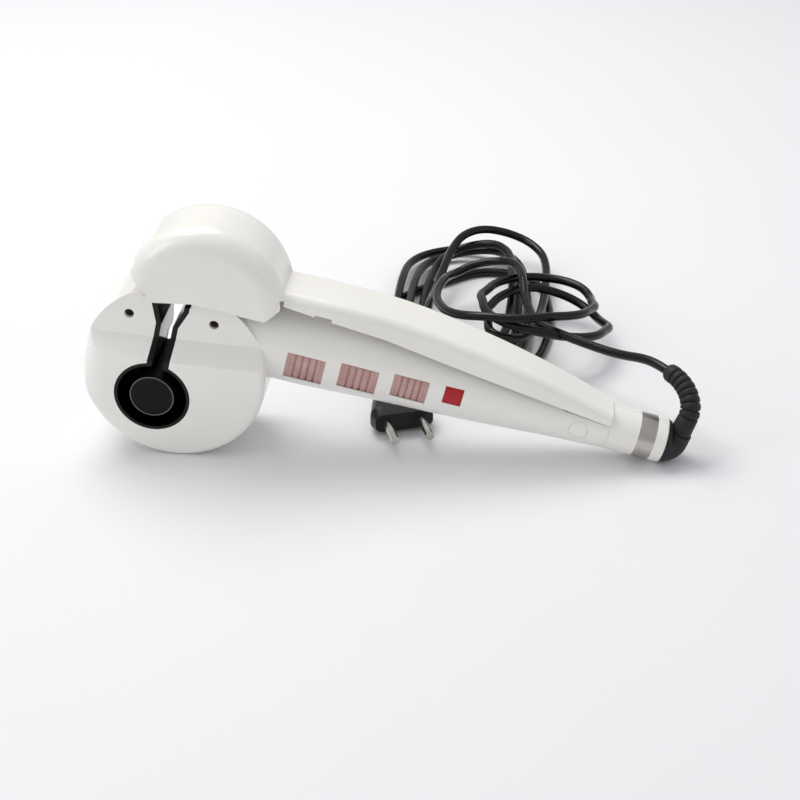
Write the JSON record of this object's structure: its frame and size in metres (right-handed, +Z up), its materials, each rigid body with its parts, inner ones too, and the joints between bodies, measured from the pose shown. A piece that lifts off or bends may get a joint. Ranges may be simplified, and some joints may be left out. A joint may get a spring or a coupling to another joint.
{
  "type": "automatic hair curler",
  "caption": "Handheld curler with a sprung jaw that feeds hair down a slot into a heated winding chamber, with slide switches, mains cord and plug.",
  "frame": {"origin": "middle of the underside of the tool without its cord, on the table", "axes": "+X from the drum to the tail along the tool, +Y across the tool away from the switches, +Z up"},
  "size_m": [0.3209, 0.278, 0.1292],
  "materials": {
    "white_shell": "pearl gloss",
    "white_inner": "matt",
    "black_liner": "satin",
    "barrel_coat": "ceramic coat",
    "ceramic": "fired",
    "rotor_plastic": "satin",
    "gear_plastic": "natural acetal",
    "steel": "zinc plated",
    "board": "green lacquer",
    "ion_box": "potted",
    "rose_knob": "rose metallic",
    "red_lens": "clear red",
    "lamp_body": "diffuse",
    "band_steel": "brushed round",
    "boot_rubber": "matt",
    "cord_pvc": "smooth PVC",
    "plug_pvc": "moulded PVC",
    "pin_brass": "nickel-plated brass"
  },
  "bodies": {
    "root": {"front_shell": "white_shell", "rear_shell": "white_shell", "tail_collar": "white_shell", "end_ring": "white_shell", "hinge_cover_front": "white_shell", "hinge_cover_rear": "white_shell", "gear_frame": "white_inner", "chamber_liner": "black_liner", "start_switch": "black_liner", "temperature_switch": "black_liner", "timer_switch": "black_liner", "direction_switch": "black_liner", "cord_elbow": "black_liner", "heated_barrel": "barrel_coat", "barrel_cap": "barrel_coat", "heater": "ceramic", "thermal_fuse": "ceramic", "hinge_pin": "steel", "return_spring": "steel", "neck_screws": "steel", "body_screws": "steel", "drive_motor": "steel", "circuit_board": "board", "power_lens": "red_lens", "power_lamp": "lamp_body", "steel_band": "band_steel", "strain_relief": "boot_rubber", "cord_lead": "cord_pvc", "cord_tail": "cord_pvc", "cord_hank": "cord_pvc", "plug_body": "plug_pvc", "plug_pins": "pin_brass"},
    "arm": {"arm_shell": "white_shell", "arm_liner": "white_inner", "jaw_insert": "black_liner", "ion_generator": "ion_box"},
    "rotor": {"winding_rotor": "rotor_plastic"},
    "pinion_upper": {"drive_pinion_upper": "gear_plastic"},
    "pinion_lower": {"drive_pinion_lower": "gear_plastic"},
    "idler": {"idler_gear": "gear_plastic"},
    "motor_shaft": {"motor_pinion": "gear_plastic"},
    "temperature_slide": {"temperature_knob": "rose_knob"},
    "timer_slide": {"timer_knob": "rose_knob"},
    "direction_slide": {"direction_knob": "rose_knob"},
    "start_plunger": {"start_button": "gear_plastic"}
  },
  "joints": [
    {"name": "arm_hinge", "type": "hinge", "parent": "root", "child": "arm", "pos_m": [0.09889, 0, 0.02246], "axis": [0, -1, 0], "range_deg": [0, 4], "stiffness_Nm_per_rad": 2, "springref_deg": -10.03, "deforming": ["return_spring"]},
    {"name": "rotor_spin", "type": "hinge", "parent": "root", "child": "rotor", "pos_m": [-0.12198, 0, 0.03573], "axis": [0, 1, 0], "continuous": true},
    {"name": "pinion_upper_spin", "type": "hinge", "parent": "root", "child": "pinion_upper", "pos_m": [-0.10065, 0, 0.0506], "axis": [0, 1, 0], "continuous": true},
    {"name": "pinion_lower_spin", "type": "hinge", "parent": "root", "child": "pinion_lower", "pos_m": [-0.09765, 0, 0.02656], "axis": [0, 1, 0], "continuous": true},
    {"name": "idler_spin", "type": "hinge", "parent": "root", "child": "idler", "pos_m": [-0.09037, 0, 0.03968], "axis": [0, 1, 0], "continuous": true},
    {"name": "motor_spin", "type": "hinge", "parent": "root", "child": "motor_shaft", "pos_m": [-0.07648, 0, 0.04141], "axis": [0, 1, 0], "continuous": true},
    {"name": "temperature_switch_slide", "type": "slide", "parent": "root", "child": "temperature_slide", "axis": [0.9708, 0, -0.2399], "range_m": [-0.0018, 0.0018]},
    {"name": "timer_switch_slide", "type": "slide", "parent": "root", "child": "timer_slide", "axis": [0.9708, 0, -0.2399], "range_m": [-0.0018, 0.0018]},
    {"name": "direction_switch_slide", "type": "slide", "parent": "root", "child": "direction_slide", "axis": [0.9708, 0, -0.2399], "range_m": [-0.0018, 0.0018]},
    {"name": "start_button_press", "type": "slide", "parent": "root", "child": "start_plunger", "axis": [-0.2399, 0, -0.9708], "range_m": [0, 0.0008], "stiffness_N_per_m": 8, "springref_m": -0.001}
  ],
  "couplings": [
    {"joint": "pinion_upper_spin", "follows": "rotor_spin", "ratio": -3.3333},
    {"joint": "pinion_lower_spin", "follows": "rotor_spin", "ratio": -3.3333},
    {"joint": "idler_spin", "follows": "rotor_spin", "ratio": 2.2222},
    {"joint": "motor_spin", "follows": "rotor_spin", "ratio": -4},
    {"joint": "start_button_press", "follows": "arm_hinge", "m_per_rad": 0.011448}
  ]
}
